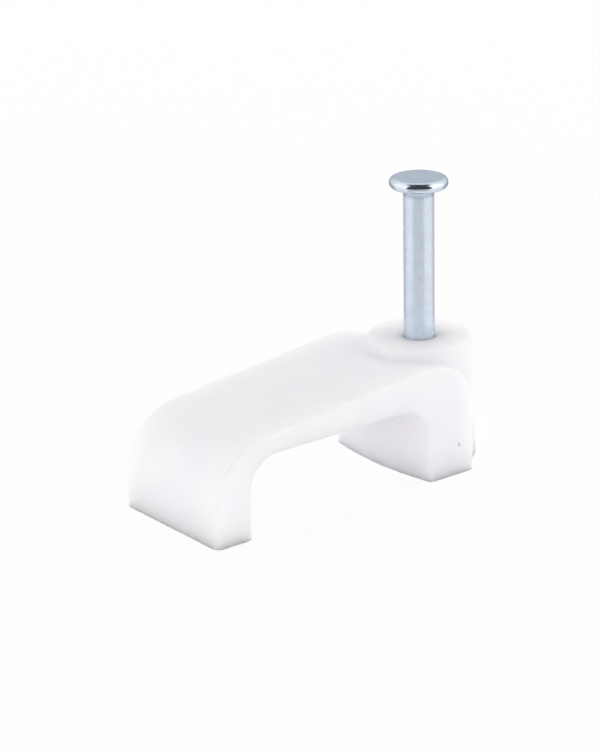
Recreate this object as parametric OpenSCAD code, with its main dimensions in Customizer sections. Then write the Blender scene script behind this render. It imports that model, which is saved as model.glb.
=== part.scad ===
// Nail-in cable clip: a moulded plastic arch that holds a flat cable to a wall,
// with a steel nail standing part-driven in the column at one end.
// Frame: the wall is Z = 0 and Z points away from it. The nail is on the Z axis,
// the bridge runs along X with the free foot at -X, and the cable runs along Y.

/* [Cable slot] */
// Clear width between the foot and the ends of the leg's slot face
slot_w = 14.3; // [9:0.1:24]
// Clear height under the bridge
slot_h = 5.2; // [4.4:0.1:9]
// Fillet under the bridge at both ends of the slot
slot_fillet = 2.2; // [0.6:0.1:3]
// How far the middle of the leg's slot face bows towards the cable
leg_crown = 0.5; // [0.2:0.05:1]

/* [Arch] */
// Width of the arch along the cable
arch_w = 9.6; // [8:0.1:16]
// Thickness of the free foot
foot_t = 2.75; // [1.5:0.05:5]
// Thickness of the bridge above the foot's slot face
bridge_t = 1.2; // [0.8:0.05:2.5]
// Slope of the bridge's top, rising to the nail, in degrees
bridge_slope = 5.9; // [2:0.1:7]
// Outside round between the foot and the bridge's top
foot_round = 4.3; // [1:0.1:5]
// Distance from the nail's axis to the ends of the leg's slot face
leg_reach = 3.15; // [2.6:0.05:5]
// How far the shoulders of the leg run past the nail's axis
shoulder_reach = 0.55; // [0:0.05:1.5]
// Round on top of the shoulders
shoulder_round = 3.4; // [1:0.1:4]
// Round on the arch's outside edges
edge_round = 0.3; // [0.1:0.05:0.8]

/* [Nail column] */
// Diameter of the column at the wall
column_base_d = 7.4; // [6:0.1:10]
// Height of the column's flared foot
flare_h = 4.1; // [1:0.1:6]
// Diameter of the collar, the straight upper part of the column
collar_d = 6.8; // [5.6:0.1:9]
// Step from the highest point of the arch up to the collar's top
collar_step = 0.4; // [0.2:0.05:2]
// Round on the collar's rim
collar_round = 0.35; // [0.1:0.05:0.8]
// Diameter of the dished ring in the arch around the collar
relief_d = 9.8; // [7.6:0.1:10]
// Depth of that ring at the collar's wall, below the highest point of the arch
relief_depth = 0.6; // [0.2:0.05:0.9]
// Depth of the dish that the nail's head seats in
dish_depth = 0.2; // [0.1:0.05:0.5]
// Radial clearance between the nail and its hole
nail_clearance = 0.04; // [0.02:0.01:0.1]

/* [Nail] */
// Diameter of the shank
nail_d = 2; // [1.4:0.1:2.6]
// Length of the nail from its tip to the top of its head
nail_length = 18; // [12:0.5:40]
// Height of the nail's tip above the wall before it is driven
tip_height = 0.8; // [0:0.1:3]
// Length of the four-sided point
point_length = 2.6; // [1:0.1:5]
// Diameter of the head
head_d = 3.8; // [3.2:0.1:5]
// Thickness of the head's rim
head_rim = 0.62; // [0.5:0.02:1.2]
// Round under the head's rim
head_under_round = 0.35; // [0.1:0.05:0.5]
// Round on top of the head's rim
head_top_round = 0.35; // [0.05:0.05:0.4]

/* [Hidden] */
$fn = 96;

// How far a cutting shape runs past the faces that it cuts
overrun = 1;
slot_near_x = -leg_reach;
slot_far_x = slot_near_x - slot_w;
foot_x = slot_far_x - foot_t;
shoulder_x = shoulder_reach;
half_w = arch_w / 2;

// Corners of the arch in its side view, and the centres of its two bends
foot_base = [foot_x, 0];
foot_top = [foot_x, top_z(foot_x)];
shoulder_top = [shoulder_x, top_z(shoulder_x)];
shoulder_base = [shoulder_x, 0];
foot_bend = round_centre(foot_base, foot_top, shoulder_top, foot_round);
shoulder_bend = round_centre(foot_top, shoulder_top, shoulder_base, shoulder_round);
arch_top_z = shoulder_bend.y + shoulder_round;

nail_r = nail_d / 2;
hole_r = nail_r + nail_clearance;
head_r = head_d / 2;
collar_r = collar_d / 2;
column_h = arch_top_z + collar_step;
// The bends stand this much proud of the straight runs, so that their surfaces cross
seam = 0.001;
// Edge rounds are proud by one such step, and by two on the bends, for the same reason
edge_step = 0.01;
// The rim keeps this much upright wall above the arch
rim_land = 0.05;
rim_round = min(collar_round, collar_step - rim_land);

// The leg's slot face is a wide cylinder through its two ends and its crown
crown_r = (pow(half_w, 2) + pow(leg_crown, 2)) / (2 * leg_crown);
crown_x = slot_near_x - leg_crown + crown_r;
// Where the two halves of the slot meet, clear of both fillets
slot_mid_x = (slot_near_x - leg_crown + slot_far_x) / 2;

// The cone under the head matches the dish, rim to hole
head_top_z = tip_height + nail_length;
rim_low_z = head_top_z - head_rim;
neck_z = rim_low_z - dish_depth;

// Corners of the head in its section, above the shank
head_neck = [nail_r, neck_z];
head_low = [head_r, rim_low_z];
head_edge = [head_r, head_top_z];
// The rounds above and below the rim leave this much of it upright
head_land = 0.02;
under_room = head_rim - head_top_round - head_land;
under_round = min(head_under_round, under_room * tan(half_angle(head_neck, head_low, head_edge)));

// Height of the bridge's top, before it is rounded
function top_z(x) = slot_h + bridge_t + (x - slot_far_x) * tan(bridge_slope);

function unit(v) = v / norm(v);
function half_angle(a, tip, b) = acos(unit(a - tip) * unit(b - tip)) / 2;

// Centre of the round that fits the corner at tip, between the edges to a and b
function round_centre(a, tip, b, r) =
    tip + unit(unit(a - tip) + unit(b - tip)) * r / sin(half_angle(a, tip, b));

// Point where that round touches the edge from tip to a
function round_touch(a, tip, b, r) = tip + unit(a - tip) * r / tan(half_angle(a, tip, b));

// What the round takes off the corner
module corner_waste(a, tip, b, r) {
    centre = round_centre(a, tip, b, r);
    difference() {
        polygon([round_touch(a, tip, b, r), 2 * tip - centre, round_touch(b, tip, a, r), centre]);
        translate(centre) circle(r);
    }
}

// A flat shape in X and Z, drawn in X and Y, stretched along the cable
module along_cable(width) {
    rotate([90, 0, 0]) linear_extrude(width, center = true) children();
}

// Side view of the arch, with no slot
module arch_side() {
    intersection() {
        union() {
            polygon([
                foot_base,
                round_touch(foot_base, foot_top, shoulder_top, foot_round),
                round_touch(shoulder_top, foot_top, foot_base, foot_round),
                round_touch(foot_top, shoulder_top, shoulder_base, shoulder_round),
                round_touch(shoulder_base, shoulder_top, foot_top, shoulder_round),
                shoulder_base
            ]);
            translate(foot_bend) circle(foot_round + seam);
            translate(shoulder_bend) circle(shoulder_round + seam);
        }
        translate([foot_x - overrun, 0]) square([shoulder_x - foot_x + 2 * overrun, arch_top_z + overrun]);
    }
}

// Top view of the arch, with its upright edges rounded
module arch_plan() {
    corners = [[foot_x, -half_w], [shoulder_x, -half_w], [shoulder_x, half_w], [foot_x, half_w]];
    difference() {
        polygon(corners);
        for (i = [0:3])
            corner_waste(corners[(i + 3) % 4], corners[i], corners[(i + 1) % 4], edge_round);
    }
}

// A bar along the sloping top, with the arch's long top edges rounded
module top_bar() {
    depth = top_z(shoulder_x) + overrun;
    run = shoulder_x - foot_x + 2 * depth;
    translate([foot_x, 0, top_z(foot_x) + edge_step])
        rotate([0, -bridge_slope, 0])
            translate([-depth, 0, 0])
                rotate([90, 0, 90])
                    linear_extrude(run)
                        difference() {
                            translate([-half_w, -2 * depth]) square([arch_w, 2 * depth]);
                            for (side = [-1, 1])
                                corner_waste([side * half_w, -depth], [side * half_w, 0], [0, 0], edge_round);
                        }
}

// What the edge round takes off both edges of a bend, turned about the bend's axis
module bend_edges(centre, r, from_angle, to_angle) {
    edge_r = r + 2 * edge_step;
    translate([centre.x, 0, centre.y])
        for (side = [0, 1])
            mirror([0, side, 0])
                rotate([90, 0, 0])
                    rotate([0, 0, from_angle])
                        rotate_extrude(angle = to_angle - from_angle)
                            corner_waste([edge_r, 0], [edge_r, half_w], [0, half_w], edge_round);
}

// The arch with its outside edges rounded all the way round, and no slot
module arch() {
    top_angle = 90 + bridge_slope;
    difference() {
        intersection() {
            along_cable(arch_w + 2 * overrun) arch_side();
            top_bar();
            linear_extrude(arch_top_z + overrun) arch_plan();
        }
        bend_edges(foot_bend, foot_round, top_angle, 180);
        bend_edges(shoulder_bend, shoulder_round, 0, top_angle);
    }
}

// The slot's half at the free foot, straight across the cable
module slot_at_foot() {
    along_cable(arch_w + 2 * overrun)
        difference() {
            translate([slot_far_x, -overrun]) square([slot_mid_x - slot_far_x, slot_h + overrun]);
            corner_waste([slot_far_x, 0], [slot_far_x, slot_h], [slot_mid_x, slot_h], slot_fillet);
        }
}

// The slot's half at the leg, turned about the axis of the leg's crowned face
module slot_at_leg() {
    reach = crown_x - slot_mid_x;
    intersection() {
        translate([crown_x, 0, 0])
            rotate_extrude($fn = 360)
                difference() {
                    translate([crown_r, -overrun]) square([2 * reach, slot_h + overrun]);
                    corner_waste([crown_r, 0], [crown_r, slot_h], [crown_r + reach, slot_h], slot_fillet);
                }
        translate([slot_mid_x, -half_w - overrun, -overrun])
            cube([reach, arch_w + 2 * overrun, slot_h + 2 * overrun]);
    }
}

// What the dished ring around the collar takes off the arch
module collar_relief() {
    foot = [collar_r, arch_top_z - relief_depth];
    lip = [relief_d / 2, arch_top_z];
    past_lip = lip + overrun * (lip - foot);
    rotate_extrude()
        polygon([[0, foot.y], foot, past_lip, [0, past_lip.y]]);
}

// The round column that carries the nail, with its flared foot and the collar's rounded rim
module column() {
    flare = [collar_r, flare_h];
    rim = [collar_r, column_h];
    rotate_extrude()
        difference() {
            polygon([[0, 0], [column_base_d / 2, 0], flare, rim, [0, column_h]]);
            corner_waste(flare, rim, [0, column_h], rim_round);
        }
}

module clip_body() {
    color("white")
        difference() {
            union() {
                difference() {
                    arch();
                    collar_relief();
                }
                column();
            }
            slot_at_foot();
            slot_at_leg();
            translate([0, 0, -overrun]) cylinder(r = hole_r, h = column_h + 2 * overrun);
            translate([0, 0, column_h - dish_depth]) cylinder(r1 = nail_r, r2 = head_r, h = dish_depth);
        }
}

// Two sides of the nail's point: a wedge as long as the nail
module point_wedge() {
    along_cable(2 * head_d)
        polygon([
            [0, tip_height], [head_d, tip_height + point_length * head_d / nail_r],
            [head_d, head_top_z + head_d], [-head_d, head_top_z + head_d],
            [-head_d, tip_height + point_length * head_d / nail_r]
        ]);
}

module nail() {
    color("lightsteelblue")
        intersection() {
            rotate_extrude()
                difference() {
                    polygon([
                        [0, tip_height], [nail_r, tip_height], head_neck,
                        head_low, head_edge, [0, head_top_z]
                    ]);
                    corner_waste(head_neck, head_low, head_edge, under_round);
                    corner_waste(head_low, head_edge, [0, head_top_z], head_top_round);
                }
            point_wedge();
            rotate([0, 0, 90]) point_wedge();
        }
}

clip_body();
nail();
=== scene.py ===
import itertools
import math

import bpy
import numpy as np
from mathutils import Matrix, Vector


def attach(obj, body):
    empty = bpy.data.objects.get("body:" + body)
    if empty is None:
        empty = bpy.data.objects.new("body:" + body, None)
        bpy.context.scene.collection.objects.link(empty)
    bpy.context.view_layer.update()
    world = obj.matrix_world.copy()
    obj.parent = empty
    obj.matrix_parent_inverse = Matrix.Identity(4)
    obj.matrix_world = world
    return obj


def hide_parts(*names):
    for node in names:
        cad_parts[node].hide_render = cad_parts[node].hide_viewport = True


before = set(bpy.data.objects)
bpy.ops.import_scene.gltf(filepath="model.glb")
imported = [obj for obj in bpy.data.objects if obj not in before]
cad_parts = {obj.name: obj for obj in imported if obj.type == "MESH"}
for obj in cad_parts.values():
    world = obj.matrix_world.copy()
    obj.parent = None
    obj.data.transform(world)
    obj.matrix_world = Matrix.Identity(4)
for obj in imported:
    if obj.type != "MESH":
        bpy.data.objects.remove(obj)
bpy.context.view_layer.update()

# Looks of a nail-in cable clip: a moulded white shell and a zinc-plated nail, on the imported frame.
# Sizes are in mm and have the names of the part's source. Meshes are made in mm, then scaled to metres.
MM = 0.001

# The arch and its slot
SLOT_FAR_X = -17.45
SLOT_NEAR_X = -3.15
SLOT_H = 5.2
SLOT_FILLET = 2.2
LEG_CROWN = 0.5
HALF_W = 4.8
FOOT_X = -20.2
SHOULDER_X = 0.55
BRIDGE_T = 1.2
BRIDGE_SLOPE = math.radians(5.9)
FOOT_ROUND = 4.3
SHOULDER_ROUND = 3.4
EDGE_ROUND = 0.3
CROWN_R = (HALF_W ** 2 + LEG_CROWN ** 2) / (2 * LEG_CROWN)
CROWN_X = SLOT_NEAR_X - LEG_CROWN + CROWN_R

# The nail's column
COLUMN_BASE_R = 3.7
FLARE_H = 4.1
COLLAR_R = 3.4
COLLAR_STEP = 0.4
COLLAR_ROUND = 0.35
RELIEF_R = 4.9
RELIEF_DEPTH = 0.6
DISH_DEPTH = 0.2
HOLE_R = 1.015

# The nail
NAIL_R = 1.0
NAIL_LENGTH = 18.0
TIP_Z = 0.8
POINT_LENGTH = 2.6
HEAD_R = 1.9
HEAD_RIM = 0.62
HEAD_UNDER_ROUND = 0.31
HEAD_TOP_ROUND = 0.35
HEAD_TOP_Z = TIP_Z + NAIL_LENGTH
RIM_LOW_Z = HEAD_TOP_Z - HEAD_RIM
NECK_Z = RIM_LOW_Z - DISH_DEPTH
# Painted shade of the head on the shank, as a faint dark ring under the head: full to INNER above and
# below its middle, gone at OUTER
HEAD_SHADE_DROP = 0.24
HEAD_SHADE_Z = NECK_Z - HEAD_SHADE_DROP
HEAD_SHADE_INNER = 0.05
HEAD_SHADE_OUTER = 0.2

# Soft edges and a sink mark, which only the moulded surface has
SLOT_EDGE = 0.25
BASE_EDGE = 0.06
LIP_EDGE = 0.6
COLLAR_FILLET = 0.7
DISH_EDGE = 0.05
SINK_MARK = (-17.4, -3.0)
SINK_DEPTH = 0.05
SINK_SPREAD = 0.6

# The finishes. Colours are linear red, green, blue and alpha. A SCALE is how many waves a noise has in a
# metre, and a SPAN holds the two values of a noise between which one look turns into the other.
WHITE = (1, 1, 1, 1)
BLACK = (0, 0, 0, 1)
PLASTIC_DULL = (0.902, 0.880, 0.962, 1)
PLASTIC_PALE = (0.916, 0.896, 0.974, 1)
PLASTIC_CLOUD_SCALE = 420
PLASTIC_CLOUD_SPAN = (0.35, 0.65)
PLASTIC_GRAIN_SCALE = 7000
PLASTIC_GRAIN_STRENGTH = 0.08
PLASTIC_GRAIN_DEPTH = 0.02
PLASTIC_SATIN_SCALE = 1500
PLASTIC_SATIN_SPAN = (0.3, 0.7)
PLASTIC_ROUGHNESS = (0.38, 0.5)
PLASTIC_IOR = 1.5
SCATTER_DEPTH = 3
SCATTER_SHARES = (1, 0.95, 0.95)
SPECK_COLOUR = (0.60, 0.57, 0.58, 1)
SPECK_PLACE = (-0.73, -4.77, 2.05)
SPECK_R = 0.08
ZINC_DULL = (0.66, 0.735, 0.83, 1)
ZINC_BRIGHT = (0.72, 0.795, 0.885, 1)
ZINC_CLOUD_SCALE = 1400
ZINC_CLOUD_SPAN = (0.35, 0.7)
ZINC_SATIN_SPAN = (0.3, 0.7)
# Colour of the real stains, also used for the painted shade ring under the head
ZINC_STAIN_AND_SHADE = (0.42, 0.48, 0.55, 1)
ZINC_STAIN_SCALE = 3600
ZINC_STAIN_SPAN = (0.7, 0.76)
ZINC_STAIN_SHARE = 0.6
# Strength of the painted shade ring under the nail's head
HEAD_SHADE_SHARE = 0.7
DRAWN_LINE_SCALE = 6000
DRAWN_LINE_STRETCH = (1, 1, 0.06)
DRAWN_LINE_STRENGTH = 0.04
DRAWN_LINE_DEPTH = 0.03
SHANK_ROUGHNESS = (0.2, 0.28)
SHANK_METAL = 0.6
HEAD_ROUGHNESS = 0.12
HEAD_METAL = 1
HEAD_BLEND = 0.1
ZINC_EDGE_TINT = (0.45, 0.48, 0.52, 1)
FLOOR_COLOUR = (0.97, 0.97, 0.97, 1)
FLOOR_ROUGHNESS = 0.9

# The camera of the photograph, for a picture of 600 x 750. It sees things from NEAREST to FARTHEST.
LENS = 144
SENSOR = 36
NEAREST = 10
FARTHEST = 10000
AZIMUTH, ELEVATION, ROLL = (math.radians(angle) for angle in (-37.701, 20.118, -1.08))
TARGET = Vector((-9.867, 0, 7.681))
DISTANCE = 189.621

# The studio: soft lamps as (name, place and size in mm, power in watts), and the world's even light
LAMPS = (
    ("lamp_right", (280, -117, 175), 400, 0.69),
    ("lamp_left", (-190, 250, 190), 400, 0.60),
    ("lamp_front", (-200, -260, 60), 300, 0.50),
    ("lamp_back", (175, 226, 165), 400, 0.38),
)
HORIZON_LIGHT = 0.72
ZENITH_LIGHT = 0.16
# Share of the floor's white that is its own, so that the clip's shadow on it is faint
FLOOR_OWN_WHITE = 0.92
FLOOR_REACH = 1500

# What the studio shows in reflections only: cards as (name, first and last turn from the camera to its
# right, first and last rise, all in degrees, brightness), then grey parts of the floor, with no rise
CARD_DISTANCE = 420
CARD_POINTS = 17
CARDS = (
    ("card_front", -50, 50, 0, 60, 0.06),
    ("card_over", -85, 85, 60, 112, 0.06),
    ("card_right", 50, 110, 0, 60, 1.4),
    ("card_left", -110, -50, 0, 60, 1.2),
)
APRON_START = 26
APRON_Z = 0.2
APRONS = (
    ("apron_front", -46, 36, 0.6),
    ("apron_back", 108, 252, 0.66),
)

# How fine the meshes are
GRID_STEP = 0.12
GRID_MARGIN = 3 * GRID_STEP
SLOPE_STEP = 0.001
FIT_ROUNDS = 4
LEAST_STEEPNESS = 0.2
NAIL_SIDES = 128
POINT_RINGS = 28
SHANK_STEP = 0.25
SHANK_END_GAP = 0.1
UNDER_RINGS = 12
TOP_RINGS = 14
FACE_RADII = (1.5, 1.2, 0.8, 0.4, 0.15)


def top_z(x):
    """Height of the bridge's sloping top, before its ends are rounded."""
    return SLOT_H + BRIDGE_T + (x - SLOT_FAR_X) * math.tan(BRIDGE_SLOPE)


def bend_centre(x, radius):
    """Centre of a bend of the arch, given its X."""
    return x, top_z(x) - radius / math.cos(BRIDGE_SLOPE)


FOOT_BEND = bend_centre(FOOT_X + FOOT_ROUND, FOOT_ROUND)
SHOULDER_BEND = bend_centre(SHOULDER_X - SHOULDER_ROUND, SHOULDER_ROUND)
ARCH_TOP_Z = SHOULDER_BEND[1] + SHOULDER_ROUND
COLUMN_H = ARCH_TOP_Z + COLLAR_STEP


def inside_both(a, b, r):
    """Signed distance to what a and b share, with a round of r on the edge between them."""
    a, b = a + r, b + r
    return np.minimum(np.maximum(a, b), 0) + np.hypot(np.maximum(a, 0), np.maximum(b, 0)) - r


def inside_either(a, b, r):
    """Signed distance to a and b joined, with a fillet of r between them."""
    return -inside_both(-a, -b, r)


def with_bend(flat, x, z, centre, radius, run):
    """Puts a round on the corner of an upright wall and the top, which runs to it along run."""
    dx, dz = x - centre[0], z - centre[1]
    in_corner = (dz > 0) & (dx * run[0] + dz * run[1] > 0)
    return np.where(in_corner, np.hypot(dx, dz) - radius, flat)


def arch_distance(x, y, z):
    """The arch with no slot, its edges rounded, and the dished ring around the collar."""
    slope_x, slope_z = math.cos(BRIDGE_SLOPE), math.sin(BRIDGE_SLOPE)
    top = (z - top_z(x)) * slope_x
    side = np.maximum(np.maximum(FOOT_X - x, x - SHOULDER_X), top)
    side = with_bend(side, x, z, FOOT_BEND, FOOT_ROUND, (-slope_x, -slope_z))
    side = with_bend(side, x, z, SHOULDER_BEND, SHOULDER_ROUND, (slope_x, slope_z))
    arch = inside_both(side, np.abs(y) - HALF_W, EDGE_ROUND)
    ring_slope = RELIEF_DEPTH / (RELIEF_R - COLLAR_R)
    ring_z = ARCH_TOP_Z - RELIEF_DEPTH + ring_slope * (np.hypot(x, y) - COLLAR_R)
    return inside_both(arch, (z - ring_z) / math.hypot(1, ring_slope), LIP_EDGE)


def column_distance(x, y, z):
    """The column that carries the nail, with its flared foot and its rounded rim."""
    flare = COLLAR_R + (COLUMN_BASE_R - COLLAR_R) * (1 - z / FLARE_H)
    wall = np.hypot(x, y) - np.maximum(flare, COLLAR_R)
    return inside_both(wall, z - COLUMN_H, COLLAR_ROUND)


def slot_distance(x, y, z):
    """The cable's slot: a straight wall at the foot, a crowned one at the leg, a fillet over each."""
    ceiling = z - SLOT_H
    at_foot = inside_both(SLOT_FAR_X - x, ceiling, SLOT_FILLET)
    at_leg = inside_both(CROWN_R - np.hypot(x - CROWN_X, y), ceiling, SLOT_FILLET)
    return np.maximum(at_foot, at_leg)


def dish_distance(x, y, z):
    """The dish that the nail's head seats in, and the hole below it."""
    radius = np.hypot(x, y)
    dish_slope = DISH_DEPTH / (HEAD_R - NAIL_R)
    dish_z = COLUMN_H - DISH_DEPTH + dish_slope * (radius - NAIL_R)
    dish = (dish_z - z) / math.hypot(1, dish_slope)
    return np.minimum(dish, radius - HOLE_R)


def clip_distance(points):
    """Signed distance to the moulded clip, below zero inside it."""
    x, y, z = points[..., 0], points[..., 1], points[..., 2]
    clip = inside_either(arch_distance(x, y, z), column_distance(x, y, z), COLLAR_FILLET)
    clip = inside_both(clip, -slot_distance(x, y, z), SLOT_EDGE)
    clip = inside_both(clip, -dish_distance(x, y, z), DISH_EDGE)
    clip = inside_both(clip, -z, BASE_EDGE)
    from_mark = np.hypot(x - SINK_MARK[0], y - SINK_MARK[1])
    sunk = np.exp(-0.5 * (from_mark / SINK_SPREAD) ** 2) * (z > SLOT_H)
    return clip + SINK_DEPTH * sunk


def slope_of(distance, points):
    """Gradient of a signed distance."""
    slopes = []
    for step in np.eye(3) * SLOPE_STEP:
        slopes.append((distance(points + step) - distance(points - step)) / (2 * SLOPE_STEP))
    return np.stack(slopes, axis=-1)


def cell_points(value, low):
    """Which grid cells the surface crosses, and the mean of its crossings with the edges of each."""
    shape = tuple(n - 1 for n in value.shape)
    total = np.zeros(shape + (3,))
    count = np.zeros(shape)
    for axis in range(3):
        for corner in itertools.product((0, 1), repeat=2):
            start = list(corner)
            start.insert(axis, 0)
            end = list(start)
            end[axis] = 1
            first = value[tuple(slice(s, s + n) for s, n in zip(start, shape))]
            last = value[tuple(slice(e, e + n) for e, n in zip(end, shape))]
            crossed = (first < 0) != (last < 0)
            spot = np.zeros(shape + (3,)) + start
            spot[..., axis] = np.where(crossed, first / np.where(crossed, first - last, 1), 0)
            total += spot * crossed[..., None]
            count += crossed
    cells = np.argwhere(count > 0)
    spots = total[count > 0] / count[count > 0][:, None]
    return cells, low + (cells + spots) * GRID_STEP, shape


def cell_quads(inside, cells, shape):
    """Faces that join the points of the four cells around each grid edge that the surface crosses."""
    number = np.full(shape, -1)
    number[tuple(cells.T)] = np.arange(len(cells))
    quads = []
    for axis in range(3):
        u, v = (axis + 1) % 3, (axis + 2) % 3
        inner = [slice(1, -1)] * 3
        inner[axis] = slice(None, -1)
        first = inside[tuple(inner)]
        inner[axis] = slice(1, None)
        last = inside[tuple(inner)]
        for outward, order in ((first & ~last, 1), (last & ~first, -1)):
            edge = np.argwhere(outward)
            edge[:, [u, v]] += 1
            ring = []
            for du, dv in ((-1, -1), (0, -1), (0, 0), (-1, 0)):
                cell = edge.copy()
                cell[:, u] += du
                cell[:, v] += dv
                ring.append(number[tuple(cell.T)])
            quads.append(np.stack(ring, axis=-1)[:, ::order])
    return np.concatenate(quads)


def surface_of(distance, low, high):
    """Points, faces and normals of the surface where a signed distance is zero."""
    axes = [np.arange(a, b, GRID_STEP) for a, b in zip(low, high)]
    value = distance(np.stack(np.meshgrid(*axes, indexing="ij"), axis=-1))
    cells, points, shape = cell_points(value, low)
    quads = cell_quads(value < 0, cells, shape)
    for _ in range(FIT_ROUNDS):
        slope = slope_of(distance, points)
        steepness = np.maximum((slope ** 2).sum(axis=-1), LEAST_STEEPNESS)
        points = points - (distance(points) / steepness)[:, None] * slope
    normals = slope_of(distance, points)
    return points, quads, normals / np.linalg.norm(normals, axis=-1)[:, None]


def add_mesh(name, points, faces, material):
    """A smooth mesh object from points in mm."""
    mesh = bpy.data.meshes.new(name)
    mesh.from_pydata((np.asarray(points) * MM).tolist(), [], [tuple(face) for face in faces])
    mesh.materials.append(material)
    mesh.shade_smooth()
    piece = bpy.data.objects.new(name, mesh)
    bpy.context.scene.collection.objects.link(piece)
    return piece


def make_clip(material):
    """The moulded clip, as one shell."""
    low = np.array([FOOT_X, -HALF_W, 0]) - GRID_MARGIN
    high = np.array([COLUMN_BASE_R, HALF_W, COLUMN_H]) + GRID_MARGIN
    points, quads, normals = surface_of(clip_distance, low, high)
    clip = add_mesh("clip_shell", points, quads.tolist(), material)
    clip.data.normals_split_custom_set_from_vertices(normals.tolist())
    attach(clip, "clip")
    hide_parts("clip_body")


def arc(centre, radius, start, end, count):
    """Points of an arc in the nail's section, from angle start to angle end in degrees."""
    angles = np.radians(np.linspace(start, end, count))
    return [(centre[0] + radius * math.cos(a), centre[1] + radius * math.sin(a)) for a in angles]


def nail_section():
    """The nail's section from the tip to the middle of the head, as (radius, z)."""
    point = [(NAIL_R, z) for z in np.linspace(TIP_Z, TIP_Z + POINT_LENGTH, POINT_RINGS)[1:]]
    shank_start = TIP_Z + POINT_LENGTH + SHANK_STEP
    shank = [(NAIL_R, z) for z in np.arange(shank_start, NECK_Z - SHANK_END_GAP, SHANK_STEP)]
    cone_angle = math.degrees(math.atan2(DISH_DEPTH, HEAD_R - NAIL_R))
    under_turn = math.radians(90 + cone_angle)
    under_z = RIM_LOW_Z + HEAD_UNDER_ROUND * math.tan((math.pi - under_turn) / 2)
    under_centre = (HEAD_R - HEAD_UNDER_ROUND, under_z)
    under = arc(under_centre, HEAD_UNDER_ROUND, cone_angle - 90, 0, UNDER_RINGS)
    top_centre = (HEAD_R - HEAD_TOP_ROUND, HEAD_TOP_Z - HEAD_TOP_ROUND)
    top = arc(top_centre, HEAD_TOP_ROUND, 0, 90, TOP_RINGS)
    face = [(radius, HEAD_TOP_Z) for radius in FACE_RADII]
    return point + shank + [(NAIL_R, NECK_Z)] + under + top + face


def make_nail(material):
    """The nail, as rings round its axis. Rings in the point are cut to four flats."""
    angles = np.linspace(0, 2 * math.pi, NAIL_SIDES, endpoint=False)
    square = 1 / np.maximum(np.abs(np.cos(angles)), np.abs(np.sin(angles)))
    points = [(0, 0, TIP_Z)]
    for radius, z in nail_section():
        flat = (z - TIP_Z) * NAIL_R / POINT_LENGTH * square
        ring = np.minimum(radius, flat)
        points += [(r * math.cos(a), r * math.sin(a), z) for r, a in zip(ring, angles)]
    points.append((0, 0, HEAD_TOP_Z))
    last = len(points) - 1
    last_ring = last - NAIL_SIDES
    faces = []
    for i in range(NAIL_SIDES):
        j = (i + 1) % NAIL_SIDES
        faces.append((0, 1 + j, 1 + i))
        for low in range(1, last_ring, NAIL_SIDES):
            high = low + NAIL_SIDES
            faces.append((low + i, low + j, high + j, high + i))
        faces.append((last, last_ring + i, last_ring + j))
    nail = add_mesh("nail_plated", points, faces, material)
    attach(nail, "nail")
    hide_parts("nail")


def new_material(name):
    """A new material, with its node tree and its shader."""
    material = bpy.data.materials.new(name)
    material.use_nodes = True
    tree = material.node_tree
    return material, tree, tree.nodes["Principled BSDF"]


def add_node(tree, kind, inputs, **settings):
    """A shader node with its settings, and with values or links on its inputs."""
    node = tree.nodes.new(kind)
    for name, value in settings.items():
        setattr(node, name, value)
    for socket, value in inputs.items():
        if isinstance(value, bpy.types.NodeSocket):
            tree.links.new(value, node.inputs[socket])
        else:
            node.inputs[socket].default_value = value
    return node


def noise(tree, where, scale, detail=2):
    """A cloudy value from 0 to 1."""
    inputs = {"Vector": where, "Scale": scale, "Detail": detail}
    return add_node(tree, "ShaderNodeTexNoise", inputs).outputs["Fac"]


def map_range(tree, value, low, high, to_low, to_high):
    """A value carried over from low and high to to_low and to_high, and held there beyond them."""
    inputs = {"Value": value, "From Min": low, "From Max": high, "To Min": to_low, "To Max": to_high}
    return add_node(tree, "ShaderNodeMapRange", inputs, clamp=True).outputs["Result"]


def mix_colour(tree, share, first, last):
    """The first colour where share is 0, and the last where it is 1."""
    inputs = {0: share, 6: first, 7: last}
    return add_node(tree, "ShaderNodeMix", inputs, data_type="RGBA").outputs[2]


def spot_at(tree, where, place, radius):
    """1 within radius of a place on the surface, in mm, falling to 0 at twice that."""
    inputs = {0: where, 1: [c * MM for c in place]}
    away = add_node(tree, "ShaderNodeVectorMath", inputs, operation="DISTANCE").outputs["Value"]
    return map_range(tree, away, radius * MM, 2 * radius * MM, 1, 0)


def bumped(tree, height, strength, depth):
    """The surface's normal with a fine relief, whose depth is in mm."""
    inputs = {"Height": height, "Strength": strength, "Distance": depth * MM}
    return add_node(tree, "ShaderNodeBump", inputs).outputs["Normal"]


def plastic():
    """White polyethylene: satin, faintly lavender, a little translucent, with one speck in it."""
    material, tree, shader = new_material("moulded_white")
    where = add_node(tree, "ShaderNodeTexCoord", {}).outputs["Object"]
    clouds = noise(tree, where, PLASTIC_CLOUD_SCALE, detail=3)
    share = map_range(tree, clouds, *PLASTIC_CLOUD_SPAN, 0, 1)
    colour = mix_colour(tree, share, PLASTIC_DULL, PLASTIC_PALE)
    speck = spot_at(tree, where, SPECK_PLACE, SPECK_R)
    colour = mix_colour(tree, speck, colour, SPECK_COLOUR)
    grain = noise(tree, where, PLASTIC_GRAIN_SCALE)
    relief = bumped(tree, grain, PLASTIC_GRAIN_STRENGTH, PLASTIC_GRAIN_DEPTH)
    satin = noise(tree, where, PLASTIC_SATIN_SCALE)
    rough = map_range(tree, satin, *PLASTIC_SATIN_SPAN, *PLASTIC_ROUGHNESS)
    tree.links.new(colour, shader.inputs["Base Color"])
    tree.links.new(rough, shader.inputs["Roughness"])
    tree.links.new(relief, shader.inputs["Normal"])
    shader.inputs["Subsurface Weight"].default_value = 1
    shader.inputs["Subsurface Radius"].default_value = SCATTER_SHARES
    shader.inputs["Subsurface Scale"].default_value = SCATTER_DEPTH * MM
    shader.inputs["IOR"].default_value = PLASTIC_IOR
    return material


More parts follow.
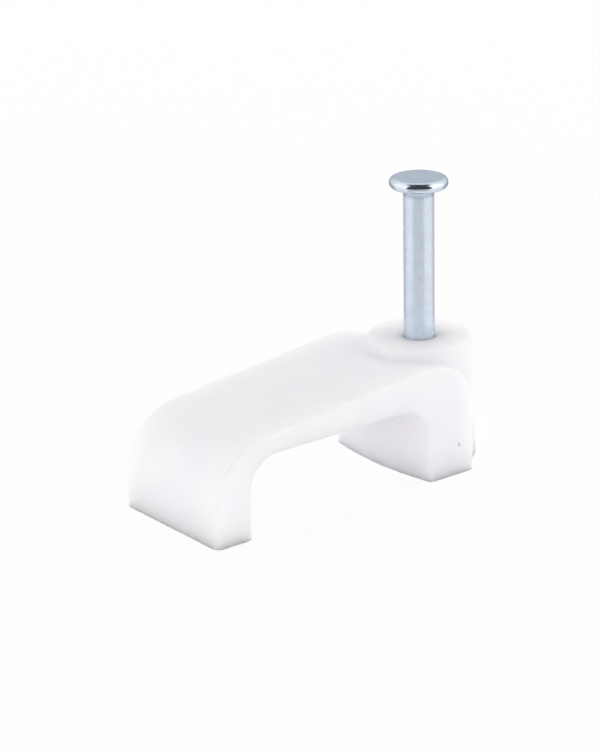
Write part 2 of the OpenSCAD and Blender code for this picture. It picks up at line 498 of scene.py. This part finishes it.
def zinc():
    """Bright bluish zinc plate: a smooth head on a satin drawn shank, cloudy, with small dark stains,
    and a painted shade ring on the shank just under the head.
    """
    material, tree, shader = new_material("zinc_plate")
    where = add_node(tree, "ShaderNodeTexCoord", {}).outputs["Object"]
    height = add_node(tree, "ShaderNodeSeparateXYZ", {"Vector": where}).outputs["Z"]
    head = map_range(tree, height, (NECK_Z - HEAD_BLEND) * MM, NECK_Z * MM, 0, 1)
    clouds = noise(tree, where, ZINC_CLOUD_SCALE, detail=4)
    share = map_range(tree, clouds, *ZINC_CLOUD_SPAN, 0, 1)
    colour = mix_colour(tree, share, ZINC_DULL, ZINC_BRIGHT)
    stains = noise(tree, where, ZINC_STAIN_SCALE)
    stains = map_range(tree, stains, *ZINC_STAIN_SPAN, 0, ZINC_STAIN_SHARE)
    colour = mix_colour(tree, stains, colour, ZINC_STAIN_AND_SHADE)
    # Painted shade: a faint dark ring on the shank just under the head, where the head shades it, in the
    # stain colour
    above = add_node(tree, "ShaderNodeMath", {0: height, 1: HEAD_SHADE_Z * MM}, operation="SUBTRACT")
    away = add_node(tree, "ShaderNodeMath", {0: above.outputs["Value"]}, operation="ABSOLUTE")
    away = away.outputs["Value"]
    ring = map_range(tree, away, HEAD_SHADE_INNER * MM, HEAD_SHADE_OUTER * MM, HEAD_SHADE_SHARE, 0)
    colour = mix_colour(tree, ring, colour, ZINC_STAIN_AND_SHADE)
    inputs = {0: where, 1: DRAWN_LINE_STRETCH}
    drawn = add_node(tree, "ShaderNodeVectorMath", inputs, operation="MULTIPLY").outputs["Vector"]
    lines = noise(tree, drawn, DRAWN_LINE_SCALE, detail=3)
    relief = bumped(tree, lines, DRAWN_LINE_STRENGTH, DRAWN_LINE_DEPTH)
    rough = map_range(tree, clouds, *ZINC_SATIN_SPAN, *SHANK_ROUGHNESS)
    rough = map_range(tree, head, 0, 1, rough, HEAD_ROUGHNESS)
    metal = map_range(tree, head, 0, 1, SHANK_METAL, HEAD_METAL)
    tree.links.new(colour, shader.inputs["Base Color"])
    tree.links.new(rough, shader.inputs["Roughness"])
    tree.links.new(metal, shader.inputs["Metallic"])
    tree.links.new(relief, shader.inputs["Normal"])
    shader.inputs["Specular Tint"].default_value = ZINC_EDGE_TINT
    return material


def backdrop_rays(tree):
    """1 for the rays that see the white background: from the camera, and in metal or glass."""
    rays = add_node(tree, "ShaderNodeLightPath", {})
    seen = rays.outputs["Is Camera Ray"]
    for kind in ("Is Glossy Ray", "Is Transmission Ray"):
        node = add_node(tree, "ShaderNodeMath", {0: seen, 1: rays.outputs[kind]}, operation="MAXIMUM")
        seen = node.outputs["Value"]
    return seen


def make_floor():
    """A plain white floor, with the clip's shadow on it."""
    material, tree, shader = new_material("floor_white")
    shader.inputs["Base Color"].default_value = FLOOR_COLOUR
    shader.inputs["Roughness"].default_value = FLOOR_ROUGHNESS
    shader.inputs["Specular IOR Level"].default_value = 0
    white = add_node(tree, "ShaderNodeEmission", {"Color": WHITE, "Strength": 1})
    inputs = {0: backdrop_rays(tree), 1: FLOOR_OWN_WHITE}
    own = add_node(tree, "ShaderNodeMath", inputs, operation="MULTIPLY")
    inputs = {0: own.outputs["Value"], 1: shader.outputs["BSDF"], 2: white.outputs["Emission"]}
    mixed = add_node(tree, "ShaderNodeMixShader", inputs)
    tree.links.new(mixed.outputs["Shader"], tree.nodes["Material Output"].inputs["Surface"])
    signs = ((-1, -1), (1, -1), (1, 1), (-1, 1))
    corners = [(x * FLOOR_REACH, y * FLOOR_REACH, 0) for x, y in signs]
    floor = add_mesh("floor", corners, [(0, 1, 2, 3)], material)


def make_world():
    """Even studio light on the object, with a white background behind it."""
    world = bpy.data.worlds.new("studio")
    world.use_nodes = True
    bpy.context.scene.world = world
    tree = world.node_tree
    towards = add_node(tree, "ShaderNodeTexCoord", {}).outputs["Generated"]
    height = add_node(tree, "ShaderNodeSeparateXYZ", {"Vector": towards}).outputs["Z"]
    light = map_range(tree, height, 0, 1, HORIZON_LIGHT, ZENITH_LIGHT)
    strength = map_range(tree, backdrop_rays(tree), 0, 1, light, 1)
    tree.nodes["Background"].inputs["Color"].default_value = WHITE
    tree.links.new(strength, tree.nodes["Background"].inputs["Strength"])


def reflected_only(name, points, columns, brightness):
    """A glowing sheet, of points in equal columns, that shows in reflections and lights nothing."""
    material, _, shader = new_material(name)
    shader.inputs["Base Color"].default_value = BLACK
    shader.inputs["Specular IOR Level"].default_value = 0
    shader.inputs["Emission Color"].default_value = WHITE
    shader.inputs["Emission Strength"].default_value = brightness
    material.cycles.emission_sampling = "NONE"
    rows = len(points) // columns
    faces = []
    for i, j in itertools.product(range(columns - 1), range(rows - 1)):
        first = i * rows + j
        faces.append((first, first + 1, first + rows + 1, first + rows))
    sheet = add_mesh(name, points, faces, material)
    sheet.visible_camera = False
    sheet.visible_diffuse = False
    sheet.visible_transmission = False
    sheet.visible_shadow = False


def add_card(name, first_turn, last_turn, first_rise, last_rise, brightness):
    """A card bent round the part, at one distance from it."""
    turns = np.radians(np.linspace(first_turn, last_turn, CARD_POINTS)) + AZIMUTH
    rises = np.radians(np.linspace(first_rise, last_rise, CARD_POINTS))
    points = []
    for turn, rise in itertools.product(turns, rises):
        out = CARD_DISTANCE * math.cos(rise)
        points.append((out * math.sin(turn), -out * math.cos(turn), CARD_DISTANCE * math.sin(rise)))
    reflected_only(name, points, len(turns), brightness)


def add_apron(name, first_turn, last_turn, brightness):
    """A grey part of the floor, clear of the part."""
    turns = np.radians(np.linspace(first_turn, last_turn, CARD_POINTS)) + AZIMUTH
    points = []
    for turn, out in itertools.product(turns, (APRON_START, CARD_DISTANCE)):
        points.append((out * math.sin(turn), -out * math.cos(turn), APRON_Z))
    reflected_only(name, points, len(turns), brightness)


def add_lamp(name, place, size, power):
    """A square soft lamp that faces the middle of the clip. Its place and size are in mm."""
    lamp = bpy.data.lights.new(name, "AREA")
    lamp.size = size * MM
    lamp.energy = power
    holder = bpy.data.objects.new(name, lamp)
    holder.visible_glossy = False
    holder.location = Vector(place) * MM
    holder.rotation_euler = (TARGET - Vector(place)).to_track_quat("-Z", "Y").to_euler()
    bpy.context.scene.collection.objects.link(holder)


def make_camera():
    """The camera that took the photograph."""
    back = Vector((
        math.sin(AZIMUTH) * math.cos(ELEVATION),
        -math.cos(AZIMUTH) * math.cos(ELEVATION),
        math.sin(ELEVATION),
    ))
    right = Vector((math.cos(AZIMUTH), math.sin(AZIMUTH), 0))
    turn = Matrix((right, back.cross(right), back)).transposed() @ Matrix.Rotation(ROLL, 3, "Z")
    lens = bpy.data.cameras.new("photo_camera")
    lens.lens = LENS
    lens.sensor_width = SENSOR
    lens.clip_start = NEAREST * MM
    lens.clip_end = FARTHEST * MM
    camera = bpy.data.objects.new("photo_camera", lens)
    camera.matrix_world = Matrix.Translation((TARGET + back * DISTANCE) * MM) @ turn.to_4x4()
    bpy.context.scene.collection.objects.link(camera)
    bpy.context.scene.camera = camera


bpy.context.scene.view_settings.view_transform = "Standard"
make_clip(plastic())
make_nail(zinc())
make_floor()
make_world()
for card in CARDS:
    add_card(*card)
for apron in APRONS:
    add_apron(*apron)
for lamp in LAMPS:
    add_lamp(*lamp)
make_camera()
